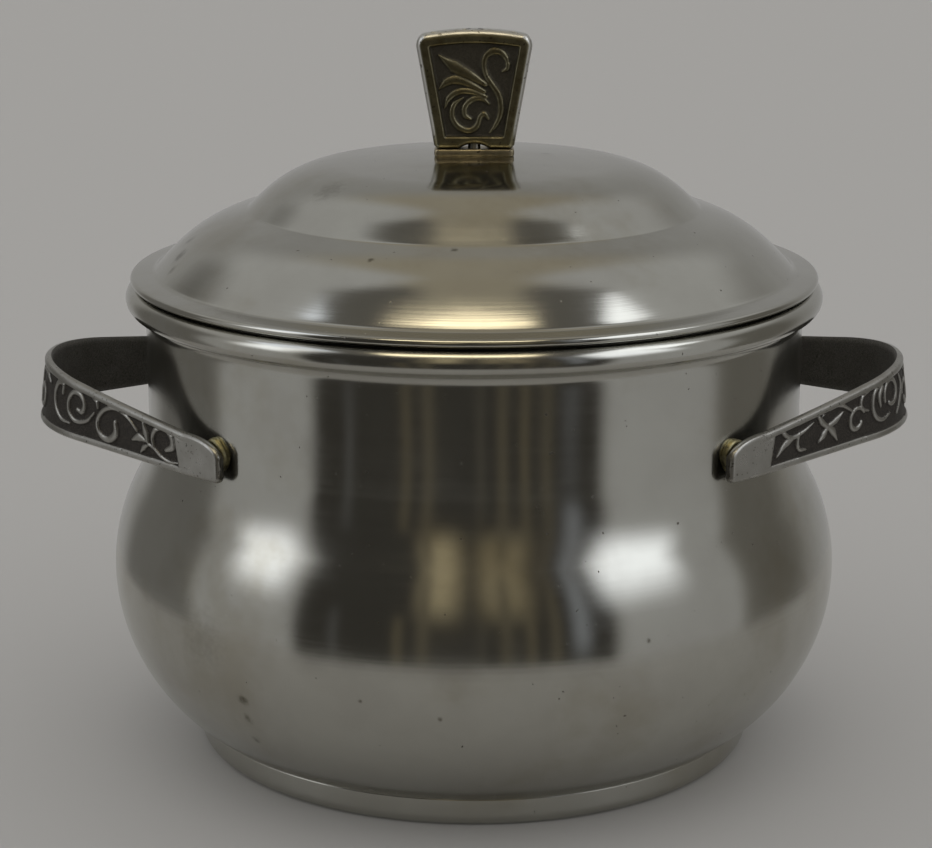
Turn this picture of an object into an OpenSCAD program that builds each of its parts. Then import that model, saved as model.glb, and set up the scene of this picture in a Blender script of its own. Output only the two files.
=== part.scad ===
// Lidded sugar bowl in pressed sheet metal, with two strap handles and a cast knob.
// Origin: middle of the foot's contact ring. +Z up, +X through the right handle.

/* [Bowl] */
// Widest radius of the belly
belly_r = 57.4; // [56:0.1:60]
// Height of the widest place of the belly
belly_z = 28.7; // [27:0.1:31]
// Radius of the belly's side curve
belly_curve_r = 29.4; // [28:0.1:31]
// Outer radius of the straight neck
neck_r = 51.4; // [50:0.1:52]
// Radius of the hollow curve between belly and neck
neck_curve_r = 20; // [12:1:30]
// Thickness of the bowl's sheet
bowl_wall = 1; // [0.8:0.1:1.2]
// Height of the floor's underside near its edge
floor_z = 2.2; // [1.6:0.1:2.6]
// Rise of the floor's middle
floor_rise = 0.8; // [0.4:0.1:1.2]
// Radius of the turn from the floor to the belly
floor_turn_r = 12; // [8:1:14]
// Height of the rolled rim's top
rim_z = 74; // [70:0.5:78]
// Radius of the rolled rim's section
rim_roll_r = 2; // [1.6:0.1:2.2]
// Radius of the flare below the rolled rim
rim_flare_r = 2.5; // [2:0.1:3]

/* [Foot ring] */
// Outer radius of the foot ring
foot_r = 44.4; // [43:0.1:45]
// Radius of the foot ring's rounded lower edge
foot_turn_r = 1.8; // [1.4:0.1:2.2]
// Width of the in-turned flange that stands on the table
foot_flange = 2.6; // [2:0.1:4]
// Thickness of the foot ring's sheet
foot_wall = 1.1; // [0.8:0.1:1.3]

/* [Lid] */
// Outer radius of the lid's hemmed edge
lid_r = 53.6; // [53:0.1:54]
// Thickness of the lid's sheet
lid_wall = 0.9; // [0.7:0.1:1]
// Radius of the hem's section
hem_r = 0.6; // [0.5:0.1:0.9]
// Gap between the hem and the rolled rim
hem_gap = 0.3; // [0.3:0.1:0.6]
// Slope of the flat flange inside the hem, in degrees
flange_slope = 7; // [5:1:12]
// Length of the flat flange
flange_len = 2.6; // [2.5:0.1:3.5]
// Radius of the hollow curve above the flange
cove_r = 1.5; // [1.2:0.1:3]
// Slope of the lower tier's side, in degrees
side_slope = 43.5; // [41:0.5:45]
// Length of the lower tier's straight side
side_len = 5; // [4:0.1:6]
// Radius of the lower tier's shoulder
shoulder_r = 22.5; // [18:0.5:24]
// Slope of the lower tier's top, in degrees
shelf_slope = 18; // [16:1:22]
// Length of the lower tier's top
shelf_len = 2.6; // [2:0.1:4]
// Radius of the crease between the tiers
crease_r = 1.5; // [1.2:0.1:3]
// Slope of the upper tier's side, in degrees
step_slope = 42; // [38:1:46]
// Length of the upper tier's straight side
step_len = 3; // [2:0.1:4]
// Radius of the upper tier's shoulder
crown_turn_r = 19; // [16:1:22]
// Slope where the shoulder passes into the crown, in degrees
crown_slope = 5; // [4:1:8]

/* [Lid collar] */
// Gap between the collar and the bowl's mouth
collar_gap = 0.5; // [0.3:0.1:0.8]
// Thickness of the collar's sheet
collar_wall = 0.9; // [0.7:0.1:1]
// Height of the collar's lower edge
collar_z = 68.5; // [66:0.5:70]

/* [Knob] */
// Height of the cast knob
knob_h = 18.3; // [17:0.1:20]
// Width of the knob at its foot
knob_foot_w = 12.4; // [11:0.1:14]
// Width of the knob at its top
knob_top_w = 17.8; // [16:0.1:20]
// Thickness of the knob
knob_t = 4.4; // [4:0.1:5]
// Radius of the knob's top corners
knob_corner_r = 1.8; // [1.2:0.1:2.4]
// Cut of the knob's foot corners
knob_chamfer = 0.6; // [0.4:0.1:1.5]
// Width of the arch in the knob's foot
arch_w = 4.8; // [4.4:0.1:5.4]
// Height of the arch in the knob's foot
arch_h = 0.8; // [0.6:0.1:1]
// Width of the frame around the knob's panels
knob_frame = 2; // [1.6:0.1:2.4]
// Depth of the knob's panels
knob_panel_depth = 0.7; // [0.4:0.1:0.9]
// Thickness of the base plate in its middle
base_t = 0.6; // [0.4:0.1:1]
// Radius of the knob screw
screw_r = 1; // [0.9:0.05:1.2]
// Length of the screw's thread inside the knob
screw_bite = 7; // [5:0.5:9]
// Radius of the screw's head
screw_head_r = 2.1; // [1.9:0.1:2.4]
// Height of the screw's head
screw_head_h = 1.6; // [1.4:0.1:2]
// Radius of the washer
washer_r = 3.6; // [3.2:0.1:4.4]
// Thickness of the washer
washer_t = 0.6; // [0.5:0.1:0.8]

/* [Handles] */
// Distance from the bowl's axis to the centre of the handle's bend
bend_x = 46.4; // [46:0.1:48]
// Outer radius of the handle's bend
bend_r = 22.5; // [21.5:0.1:23.5]
// Half of the angle that the bend turns through, in degrees
bend_half = 48; // [46:1:50]
// Thickness of the handle strip
strip_t = 1.4; // [1.2:0.1:1.6]
// Width of the strip at its ends
strip_end_w = 6.4; // [6:0.1:7]
// Width of the strip at the middle of the loop
strip_mid_w = 10.4; // [9:0.1:11]
// Height of the strip's middle line at its ends
strip_end_z = 54; // [53:0.1:55]
// Height of the strip's middle line at the middle of the loop
strip_mid_z = 57.1; // [56:0.1:58]
// Length of the plain tongue at each end of the strip
tongue_len = 10; // [8:0.5:12]
// Distance from the tongue's tip to the leg's nearest point to the bowl's axis
tip_past = 1.7; // [1.4:0.1:2]
// Length over which the tongue's upper corner is rounded
tip_turn = 5.5; // [4.5:0.1:6]
// Height by which the tongue's upper corner is rounded
tip_drop = 2.2; // [1.8:0.1:2.6]
// Radius of the tongue's lower corner
tip_corner_r = 0.9; // [0.6:0.1:1.2]
// Width of the raised border along the strip
border_w = 1.1; // [0.9:0.1:1.4]
// Depth of the sunk panel
panel_depth = 0.4; // [0.3:0.05:0.5]
// Radius of a brazed pad
pad_r = 2.8; // [2.4:0.1:3.2]
// Distance from the tongue's tip to the pad's middle
pad_in = 2.4; // [2.2:0.1:3]
// Height of the pad's middle above the strip's middle line
pad_up = 0.4; // [0.2:0.1:0.6]

/* [Hidden] */

silver = "#a9a8a2";
dark_silver = "#77756d";
old_brass = "#8a7d5a";

sag = 0.012;           // how far a straight step of a section may fall inside its arc
round_fn = 96;         // $fn of the true circles
fine_fn = 360;         // $fn of the circle that thin pads are cut to
reach = 200;           // longer than the whole object, for cutting

// Belly and neck, solved so that each curve runs into the next without a corner
belly_turn = acos((belly_z - floor_z - floor_turn_r) / (belly_curve_r - floor_turn_r));
neck_turn = acos(1 - (belly_r - neck_r) / (belly_curve_r + neck_curve_r));
floor_r = belly_r - floor_turn_r * sin(belly_turn) - belly_curve_r * (1 - sin(belly_turn));
neck_z = belly_z + (belly_curve_r + neck_curve_r) * sin(neck_turn);
roll_z = rim_z - rim_roll_r;
mouth_r = neck_r - bowl_wall;
roll_x = mouth_r + rim_roll_r;
flare_turn = 45;
flare_x = neck_r + rim_flare_r * (1 - cos(flare_turn));
roll_from = acos((flare_x - roll_x) / rim_roll_r);
flare_z = roll_z - rim_roll_r * sin(roll_from) - rim_flare_r * sin(flare_turn);

// Floor: a shallow dish pressed upwards
dish_half = 2 * atan(floor_rise / floor_r);
dish_edge_share = 0.25;
dish_r = floor_r / sin(dish_half) / (1 + dish_edge_share);
bowl_start = [0, floor_z + floor_rise];
bowl_path = [[dish_r, -dish_half], [dish_r * dish_edge_share, 0], [floor_turn_r, belly_turn],
             [belly_curve_r, 90 + neck_turn], [neck_curve_r, 90]];
rim_path = [[flare_z - neck_z], [rim_flare_r, 90 - flare_turn]];

// Lid section, walked from the hem inwards and up to the axis
hem_z = rim_z + hem_gap + hem_r;
hem_x = lid_r - hem_r;
lid_start = [hem_x + hem_r * sin(flange_slope), hem_z + hem_r * cos(flange_slope)];
lid_path = [[flange_len], [cove_r, 180 - side_slope], [side_len],
            [shoulder_r, 180 - shelf_slope], [shelf_len],
            [crease_r, 180 - step_slope], [step_len], [crown_turn_r, 180 - crown_slope]];
lid_top_edge = walk(lid_start, 180 - flange_slope, lid_path);
crown_edge = lid_top_edge[len(lid_top_edge) - 1];
crown_r = crown_edge[0] / sin(crown_slope);
lid_top_z = crown_edge[1] + crown_r * (1 - cos(crown_slope));

base_z = lid_top_z + base_t;
under_z = lid_top_z - lid_wall;
washer_z = under_z - washer_r * washer_r / (2 * (crown_r - lid_wall)) - 0.01;

// Handle loop in plan: two straight legs and one bend
leg_dist = bend_x * cos(bend_half) + bend_r;
leg_len = bend_x * sin(bend_half) - tip_past;
tip_x = leg_dist * cos(bend_half) + tip_past * sin(bend_half);
tip_y = leg_dist * sin(bend_half) - tip_past * cos(bend_half);
nose_x = bend_x + bend_r;

// Angles from a to b, in even steps small enough for an arc of radius r
function angles(a, b, r) =
    let (n = max(1, ceil(abs(b - a) / (2 * acos(1 - sag / r))))) [for (i = [0:n]) a + (b - a) * i / n];

// Points of an arc of radius r that starts at p, heading a, and ends heading b
function arc_on(p, a, r, b) =
    [for (h = angles(a, b, r)) p + sign(b - a) * r * [sin(h) - sin(a), cos(a) - cos(h)]];

// Points of a path of straights [length] and arcs [radius, new heading], from p and heading a
function walk(p, a, moves, i = 0) =
    i == len(moves) ? [p] :
    len(moves[i]) == 1
        ? concat([p], walk(p + moves[i][0] * [cos(a), sin(a)], a, moves, i + 1))
        : let (points = arc_on(p, a, moves[i][0], moves[i][1]), last = len(points) - 1)
          concat([for (k = [0:last - 1]) points[k]], walk(points[last], moves[i][1], moves, i + 1));

// The same path moved to its left by t: left turns tighten, right turns open
function left_of(a, moves, t, i = 0) =
    i == len(moves) ? [] :
    len(moves[i]) == 1
        ? concat([moves[i]], left_of(a, moves, t, i + 1))
        : concat([[moves[i][0] - sign(moves[i][1] - a) * t, moves[i][1]]],
                 left_of(moves[i][1], moves, t, i + 1));

function beside(p, a, t) = p + t * [-sin(a), cos(a)];
function backwards(points) = [for (i = [len(points) - 1:-1:0]) points[i]];

// Outline of a sheet of thickness t on the left of a path
function sheet(p, a, moves, t) =
    concat(walk(p, a, moves), backwards(walk(beside(p, a, t), a, left_of(a, moves, t))));

// Region inside the bowl's outer surface, up to the flare of the rim
module bowl_body_section() {
    polygon(concat(walk(bowl_start, 0, bowl_path), [[neck_r, flare_z], [0, flare_z]]));
}

// One closed section: up the outside, round the rolled rim, and down the inside
module bowl_shell() {
    outside = walk(bowl_start, 0, concat(bowl_path, rim_path));
    roll = [for (a = angles(-roll_from, 180, rim_roll_r))
        [roll_x, roll_z] + rim_roll_r * [cos(a), sin(a)]];
    inside = walk(bowl_start + [0, bowl_wall], 0, left_of(0, bowl_path, bowl_wall));
    color(silver)
    rotate_extrude($fn = round_fn)
    polygon(concat([for (i = [0:len(outside) - 2]) outside[i]], roll, backwards(inside)));
}

// The foot's sheet runs up to the belly, and is trimmed where it meets it
module foot_ring() {
    start = [foot_r - foot_turn_r - foot_flange, 0];
    color(silver)
    rotate_extrude($fn = round_fn)
    difference() {
        polygon(sheet(start, 0, [[foot_flange], [foot_turn_r, 90], [floor_z + floor_turn_r]], foot_wall));
        bowl_body_section();
    }
}

// Side view of a strip that grows from its ends to the middle of the loop, rounded most at the top of its tip
module strip_side(inset) {
    half_end = strip_end_w / 2 - inset;
    half_mid = strip_mid_w / 2 - inset;
    turn_w = tip_turn * sin(bend_half);
    polygon(concat(
        [for (a = angles(90, 180, tip_turn))
            [tip_x + turn_w * (1 + cos(a)), strip_end_z + half_end - tip_drop * (1 - sin(a))]],
        [for (a = angles(180, 270, tip_corner_r))
            [tip_x + tip_corner_r * (1 + cos(a)), strip_end_z - half_end + tip_corner_r * (1 + sin(a))]],
        [[nose_x + 1, strip_mid_z - half_mid], [nose_x + 1, strip_mid_z + half_mid]]));
}

// Plan of the loop between two depths below its outer face
module strip_plan(near, far) {
    start = [tip_x, -tip_y];
    a = 90 - bend_half;
    moves = [[leg_len], [bend_r, 90 + bend_half], [leg_len]];
    polygon(concat(
        walk(beside(start, a, near), a, left_of(a, moves, near)),
        backwards(walk(beside(start, a, far), a, left_of(a, moves, far)))));
}

module strip_solid(near, far, inset) {
    intersection() {
        linear_extrude(reach) strip_plan(near, far);
        translate([0, reach / 2, 0]) rotate([90, 0, 0]) linear_extrude(reach) strip_side(inset);
    }
}

module handle() {
    panel_x = tip_x + tongue_len * sin(bend_half);
    color(dark_silver)
    difference() {
        strip_solid(0, strip_t, 0);
        difference() {
            strip_solid(-1, panel_depth, border_w);
            translate([panel_x - reach, -reach / 2, 0]) cube(reach);
        }
    }
}

// Pad of brazing metal between the neck and the strip's inner face
module braze(side) {
    color(old_brass)
    difference() {
        rotate([0, 0, side * bend_half])
        translate([0, -side * (tip_past + pad_in), strip_end_z + pad_up])
        rotate([0, 90, 0])
        cylinder(h = leg_dist - strip_t, r = pad_r, $fn = round_fn);
        rotate_extrude($fn = fine_fn) bowl_body_section();
    }
}

module left_handle() mirror([1, 0, 0]) handle();
module right_handle() handle();
module braze_left_front() mirror([1, 0, 0]) braze(-1);
module braze_left_back() mirror([1, 0, 0]) braze(1);
module braze_right_front() braze(-1);
module braze_right_back() braze(1);

function crown_path() = concat(lid_path, [[crown_r, 180]]);

module lid_shell() {
    hole_r = screw_r + 0.15;
    color(silver)
    difference() {
        rotate_extrude($fn = round_fn)
        union() {
            polygon(sheet(lid_start, 180 - flange_slope, crown_path(), lid_wall));
            translate([hem_x, hem_z]) circle(hem_r, $fn = round_fn);
        }
        cylinder(h = reach, r = hole_r, $fn = round_fn);
    }
}

// Region at and above the lid's underside
module above_lid() {
    a = 180 - flange_slope;
    under = walk(beside(lid_start, a, lid_wall), a, left_of(a, crown_path(), lid_wall));
    rotate_extrude($fn = round_fn)
    polygon(concat([for (p = under) [max(p[0], 0), p[1]]], [[0, reach], [reach, reach], [reach, under[0][1]]]));
}

// Region at and below the lid's upper face
module below_lid() {
    rotate_extrude($fn = round_fn)
    polygon(concat([for (p = walk(lid_start, 180 - flange_slope, crown_path())) [max(p[0], 0), p[1]]], [[0, 0], [lid_r, 0]]));
}

module lid_collar() {
    outer_r = neck_r - bowl_wall - collar_gap;
    color(silver)
    difference() {
        translate([0, 0, collar_z])
        difference() {
            cylinder(h = lid_top_z - collar_z, r = outer_r, $fn = round_fn);
            translate([0, 0, -1]) cylinder(h = reach, r = outer_r - collar_wall, $fn = round_fn);
        }
        above_lid();
    }
}

// Front view of the knob, smaller by inset all round
module knob_outline(inset) {
    lean = atan((knob_top_w - knob_foot_w) / (2 * knob_h));
    foot = knob_foot_w / 2 - inset;
    cut = knob_chamfer * (inset > 0 ? 0.3 : 1);
    corner = max(knob_corner_r - inset, 0.4);
    top_half = knob_top_w / 2 - inset;
    crown = 0.6;
    side_top = knob_h - inset - crown - corner;
    polygon([
        [-foot + cut, inset], [foot - cut, inset], [foot, inset + cut],
        each [for (a = angles(-lean, 80, corner)) [top_half - corner + corner * cos(a), side_top + corner * sin(a)]],
        each [for (x = [0.8:-0.2:-0.8]) [x * (top_half - corner), side_top + corner + crown * (1 - x * x)]],
        each [for (a = angles(100, 180 + lean, corner)) [-top_half + corner + corner * cos(a), side_top + corner * sin(a)]],
        [-foot, inset + cut]]);
}

module knob() {
    arch_r = (arch_w * arch_w / 4 + arch_h * arch_h) / (2 * arch_h);
    color(old_brass)
    translate([0, 0, base_z])
    difference() {
        translate([0, knob_t / 2, 0]) rotate([90, 0, 0]) linear_extrude(knob_t) knob_outline(0);
        for (face = [-1, 1])
            translate([0, face * (knob_t / 2 + 1 - knob_panel_depth) + 1, 0])
            rotate([90, 0, 0]) linear_extrude(2) knob_outline(knob_frame);
        translate([0, 0, -1]) cylinder(h = screw_bite + 1.5, r = screw_r + 0.05, $fn = round_fn);
        translate([0, 0, arch_h - arch_r]) rotate([90, 0, 0]) cylinder(h = reach, r = arch_r, center = true, $fn = round_fn);
    }
}

module knob_base() {
    color(old_brass)
    difference() {
        translate([-knob_foot_w / 2, -knob_t / 2, base_z - 2]) cube([knob_foot_w, knob_t, 2]);
        below_lid();
        cylinder(h = reach, r = screw_r + 0.15, $fn = round_fn);
    }
}

module knob_screw() {
    head_z = washer_z - washer_t - screw_head_h;
    color(dark_silver)
    difference() {
        union() {
            translate([0, 0, head_z]) cylinder(h = screw_head_h, r = screw_head_r, $fn = round_fn);
            translate([0, 0, head_z]) cylinder(h = base_z + screw_bite - head_z, r = screw_r, $fn = round_fn);
        }
        translate([-reach / 2, -0.4, head_z - 1]) cube([reach, 0.8, 1.8]);
    }
}

module knob_washer() {
    color(silver)
    translate([0, 0, washer_z - washer_t])
    difference() {
        cylinder(h = washer_t, r = washer_r, $fn = round_fn);
        translate([0, 0, -1]) cylinder(h = washer_t + 2, r = screw_r + 0.15, $fn = round_fn);
    }
}

bowl_shell();
foot_ring();
left_handle();
right_handle();
braze_left_front();
braze_left_back();
braze_right_front();
braze_right_back();
lid_shell();
lid_collar();
knob();
knob_base();
knob_screw();
knob_washer();
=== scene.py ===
import bpy
import numpy as np
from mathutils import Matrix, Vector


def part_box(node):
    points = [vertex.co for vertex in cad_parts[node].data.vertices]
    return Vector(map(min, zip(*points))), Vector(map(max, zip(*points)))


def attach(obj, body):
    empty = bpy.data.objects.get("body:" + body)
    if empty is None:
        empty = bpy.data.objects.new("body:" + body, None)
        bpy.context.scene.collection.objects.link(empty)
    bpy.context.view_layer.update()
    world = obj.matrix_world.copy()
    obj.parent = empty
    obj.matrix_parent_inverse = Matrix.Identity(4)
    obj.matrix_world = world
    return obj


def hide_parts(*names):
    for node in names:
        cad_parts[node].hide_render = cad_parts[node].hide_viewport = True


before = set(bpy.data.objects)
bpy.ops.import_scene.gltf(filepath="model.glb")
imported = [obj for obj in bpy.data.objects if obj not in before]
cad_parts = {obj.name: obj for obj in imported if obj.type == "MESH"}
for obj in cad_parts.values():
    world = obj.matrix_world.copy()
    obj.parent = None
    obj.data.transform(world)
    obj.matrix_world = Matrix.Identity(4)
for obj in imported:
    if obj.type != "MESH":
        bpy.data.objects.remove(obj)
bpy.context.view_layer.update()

# ---- The bowl -----------------------------------------------------------------------------------
# A round sugar bowl pressed and bulged from 1 mm sheet: shallow dished floor, full belly, straight neck.
# The edge of the mouth flares a little and is rolled outwards into a round rim. It has a satin finish
# from the spindle.

MM = 0.001
bowl_low, bowl_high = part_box("bowl_shell")
BELLY_R = bowl_high.x / MM
RIM_Z = bowl_high.z / MM
FLOOR_Z = bowl_low.z / MM
BOWL_WALL = 1.0
BELLY_Z = 28.7
BELLY_CURVE_R = 29.4
FLOOR_TURN_R = 12.0
FLOOR_RISE = 0.8
DISH_EDGE_SHARE = 0.25
NECK_R = 51.4
NECK_CURVE_R = 20.0
RIM_ROLL_R = 2.0
RIM_FLARE_R = 2.5
RIM_FLARE_TURN = 45.0
SPUN_STEPS = 224


def walk(start, heading, moves, step):
    """Points of a path in the plane of radius and height. A move (length,) goes straight on. A move
    (r, h) turns on a circle of radius r until the heading is h degrees: each point is the circle's
    centre plus r times (sin h, -cos h) for a left turn, and minus that for a right turn."""
    stretches = [np.array([start], float)]
    for move in moves:
        at = stretches[-1][-1]
        way = np.radians(heading)
        if len(move) == 1:
            along = np.linspace(0, move[0], int(move[0] / step) + 2)[1:, None]
            stretches.append(at + along * [np.cos(way), np.sin(way)])
            continue
        radius, turned = move
        finest = min(step, 0.14 * radius)
        count = int(abs(np.radians(turned - heading)) * radius / finest) + 3
        ways = np.radians(np.linspace(heading, turned, count))[1:]
        side = np.sign(turned - heading) * radius
        stretches.append(at + side * np.stack([np.sin(ways) - np.sin(way), np.cos(way) - np.cos(ways)], 1))
        heading = turned
    return np.concatenate(stretches)


def beside(start, heading, moves, gap):
    """The same path moved to its left by a gap: left turns get tighter and right turns wider."""
    way = np.radians(heading)
    moved = []
    for move in moves:
        if len(move) == 2:
            move = (move[0] - np.sign(move[1] - heading) * gap, move[1])
            heading = move[1]
        moved.append(move)
    return np.array(start) + gap * np.array([-np.sin(way), np.cos(way)]), moved


def surface(name, grid, ring_rows=False, ring_columns=True):
    """A closed skin on a grid of points: each cell is one face. Rows or columns may close on themselves.
    Points that fall together, at a pole or a pinched end, become one. Faces are turned outwards by the
    sign of the volume that they enclose. It returns the piece, and each kept point's place in the grid."""
    rows, columns = grid.shape[:2]
    number = np.arange(rows * columns).reshape(rows, columns)
    if ring_rows:
        number = np.vstack([number, number[:1]])
    if ring_columns:
        number = np.hstack([number, number[:, :1]])
    cells = [number[:-1, :-1], number[:-1, 1:], number[1:, 1:], number[1:, :-1]]
    corners = np.stack(cells, -1).reshape(-1, 4)
    points = grid.reshape(-1, 3) * MM
    places, merged = np.unique(np.round(points / 1e-8).astype(np.int64), axis=0, return_inverse=True)
    merged = merged.reshape(-1)
    first = np.full(len(places), len(points))
    np.minimum.at(first, merged, np.arange(len(points)))
    points = points[first]
    corners = merged[corners]
    a, b, c, d = (points[corners[:, k]] for k in range(4))
    volume = (np.cross(b - a, c - a) * a).sum() + (np.cross(c - a, d - a) * a).sum()
    if volume < 0:
        corners = corners[:, ::-1]
    keep = corners != np.roll(corners, 1, axis=1)
    sizes = keep.sum(1)
    keep = keep[sizes > 2]
    corners = corners[sizes > 2][keep]
    sizes = sizes[sizes > 2]
    mesh = bpy.data.meshes.new(name)
    mesh.vertices.add(len(points))
    mesh.vertices.foreach_set("co", points.astype(np.float32).ravel())
    mesh.loops.add(len(corners))
    mesh.loops.foreach_set("vertex_index", corners.astype(np.int32))
    mesh.polygons.add(len(sizes))
    mesh.polygons.foreach_set("loop_start", np.concatenate([[0], np.cumsum(sizes)[:-1]]).astype(np.int32))
    mesh.polygons.foreach_set("loop_total", sizes.astype(np.int32))
    mesh.polygons.foreach_set("use_smooth", np.ones(len(sizes), bool))
    mesh.update(calc_edges=True)
    mesh.validate()
    piece = bpy.data.objects.new(name, mesh)
    bpy.context.scene.collection.objects.link(piece)
    return piece, first


def spun(name, section, steps, unevenness=0.0, closed=False):
    """A section of (radius, height) points carried round the axis: (r cos t, r sin t, height). The
    radius shrinks by slow waves in t and in height, up to twice the unevenness, as finished sheet does."""
    t = np.linspace(0, 2 * np.pi, steps, endpoint=False)[None, :]
    r = section[:, :1]
    z = section[:, 1:]
    waves = np.sin(3 * t + 0.11 * z + 0.4) * np.cos(0.16 * z - t)
    waves = waves + 0.7 * np.sin(5 * t - 0.09 * z + 2.0) + 0.5 * np.sin(8 * t + 0.3 * z + 0.05 * r)
    swell = unevenness * (waves / 2.2 - 1) * np.clip(r / 20, 0, 1)
    across = r + swell * np.clip(r / 30, 0, 1)
    grid = np.stack([across * np.cos(t), across * np.sin(t), z + 0 * t], -1)
    return surface(name, grid, ring_rows=closed)[0]


belly_turn = np.degrees(np.arccos((BELLY_Z - FLOOR_Z - FLOOR_TURN_R) / (BELLY_CURVE_R - FLOOR_TURN_R)))
neck_turn = np.degrees(np.arccos(1 - (BELLY_R - NECK_R) / (BELLY_CURVE_R + NECK_CURVE_R)))
floor_r = (BELLY_R - FLOOR_TURN_R * np.sin(np.radians(belly_turn))
           - BELLY_CURVE_R * (1 - np.sin(np.radians(belly_turn))))
neck_z = BELLY_Z + (BELLY_CURVE_R + NECK_CURVE_R) * np.sin(np.radians(neck_turn))
dish_half = np.degrees(2 * np.arctan(FLOOR_RISE / floor_r))
dish_r = floor_r / np.sin(np.radians(dish_half)) / (1 + DISH_EDGE_SHARE)
roll_x = NECK_R - BOWL_WALL + RIM_ROLL_R
roll_z = RIM_Z - RIM_ROLL_R
flare_x = NECK_R + RIM_FLARE_R * (1 - np.cos(np.radians(RIM_FLARE_TURN)))
roll_from = np.arccos((flare_x - roll_x) / RIM_ROLL_R)
flare_z = roll_z - RIM_ROLL_R * np.sin(roll_from) - RIM_FLARE_R * np.sin(np.radians(RIM_FLARE_TURN))
bowl_start = (0.0, FLOOR_Z + FLOOR_RISE)
bowl_moves = [(dish_r, -dish_half), (dish_r * DISH_EDGE_SHARE, 0.0), (FLOOR_TURN_R, belly_turn),
              (BELLY_CURVE_R, 90 + neck_turn), (NECK_CURVE_R, 90.0)]
outside = walk(bowl_start, 0.0, bowl_moves + [(flare_z - neck_z,), (RIM_FLARE_R, 90 - RIM_FLARE_TURN)], 0.9)
roll_angles = np.linspace(-roll_from, np.pi, 34)[1:, None]
roll = np.array([roll_x, roll_z]) + RIM_ROLL_R * np.hstack([np.cos(roll_angles), np.sin(roll_angles)])
inner_start, inner_moves = beside(bowl_start, 0.0, bowl_moves, BOWL_WALL)
inside = walk(inner_start, 0.0, inner_moves + [(roll_z - neck_z - 0.4,)], 1.3)
bowl = spun("bowl", np.vstack([outside, roll, inside[::-1]]), SPUN_STEPS, unevenness=0.05)
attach(bowl, "root")
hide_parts("bowl_shell")


def node(tree, kind, inputs=None, **choices):
    """Adds a node. Choices are its own settings; inputs are numbers, colours or other nodes' outputs."""
    made = tree.nodes.new(kind)
    for name, value in choices.items():
        setattr(made, name, value)
    for socket, value in (inputs or {}).items():
        if isinstance(value, bpy.types.NodeSocket):
            tree.links.new(value, made.inputs[socket])
        else:
            made.inputs[socket].default_value = value
    return made


def calc(tree, operation, *values):
    """One step of arithmetic on sockets or numbers."""
    return node(tree, "ShaderNodeMath", dict(enumerate(values)), operation=operation).outputs[0]


def step_up(tree, value, low, high, first=0.0, last=1.0):
    """A smooth step from the first value at low to the last value at high."""
    inputs = {0: value, 1: low, 2: high, 3: first, 4: last}
    return node(tree, "ShaderNodeMapRange", inputs, interpolation_type="SMOOTHSTEP").outputs[0]


def blend(tree, share, first, second):
    """Passes from the first colour to the second by the share."""
    return node(tree, "ShaderNodeMix", {0: share, 6: first, 7: second}, data_type="RGBA").outputs[2]


def noise(tree, vector, scale, detail=2.0, rough=0.5, offset=None):
    """Cloudy noise between 0 and 1. With an offset it is four-dimensional."""
    inputs = {"Vector": vector, "Scale": scale, "Detail": detail, "Roughness": rough}
    if offset is not None:
        inputs["W"] = offset
    made = node(tree, "ShaderNodeTexNoise", inputs, noise_dimensions="3D" if offset is None else "4D")
    return made.outputs[0]


def new_group(name, inputs, outputs):
    """An empty shader group with named number inputs, each with its usual value, and number outputs."""
    tree = bpy.data.node_groups.new(name, "ShaderNodeTree")
    for label, value in inputs.items():
        tree.interface.new_socket(label, in_out="INPUT", socket_type="NodeSocketFloat").default_value = value
    for label in outputs:
        tree.interface.new_socket(label, in_out="OUTPUT", socket_type="NodeSocketFloat")
    return tree, tree.nodes.new("NodeGroupInput"), tree.nodes.new("NodeGroupOutput")


def use_group(tree, group, **values):
    """Places a group in a material with its own values, and returns the node's outputs."""
    made = tree.nodes.new("ShaderNodeGroup")
    made.node_tree = group
    for label, value in values.items():
        made.inputs[label.replace("_", " ")].default_value = value
    return made.outputs


# Spun grain: fine lines round the axis, long along the turn and a fraction of a millimetre wide.
spun_grain, grain_in, grain_out = new_group(
    "spun grain", {"Lines per metre": 3600.0, "Lines round": 1.4}, ["Grain", "Scratch"])
place = node(spun_grain, "ShaderNodeTexCoord").outputs["Object"]
axes = node(spun_grain, "ShaderNodeSeparateXYZ", {0: place}).outputs
from_axis = calc(spun_grain, "SQRT", calc(spun_grain, "ADD", calc(spun_grain, "MULTIPLY", axes[0], axes[0]),
                                          calc(spun_grain, "MULTIPLY", axes[1], axes[1])))
safe = calc(spun_grain, "MAXIMUM", from_axis, 1e-4)
round_x = calc(spun_grain, "MULTIPLY", calc(spun_grain, "DIVIDE", axes[0], safe), grain_in.outputs[1])
round_y = calc(spun_grain, "MULTIPLY", calc(spun_grain, "DIVIDE", axes[1], safe), grain_in.outputs[1])
high = calc(spun_grain, "MULTIPLY", axes[2], grain_in.outputs[0])
wide = calc(spun_grain, "MULTIPLY", from_axis, grain_in.outputs[0])
along = node(spun_grain, "ShaderNodeCombineXYZ", {0: round_x, 1: round_y, 2: high}).outputs[0]
fine = noise(spun_grain, along, 1.0, 3.0, 0.65, wide)
coarse = noise(spun_grain, along, 0.35, 2.0, 0.5, wide)
spun_grain.links.new(fine, grain_out.inputs["Grain"])
spun_grain.links.new(step_up(spun_grain, coarse, 0.62, 0.74), grain_out.inputs["Scratch"])

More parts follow.
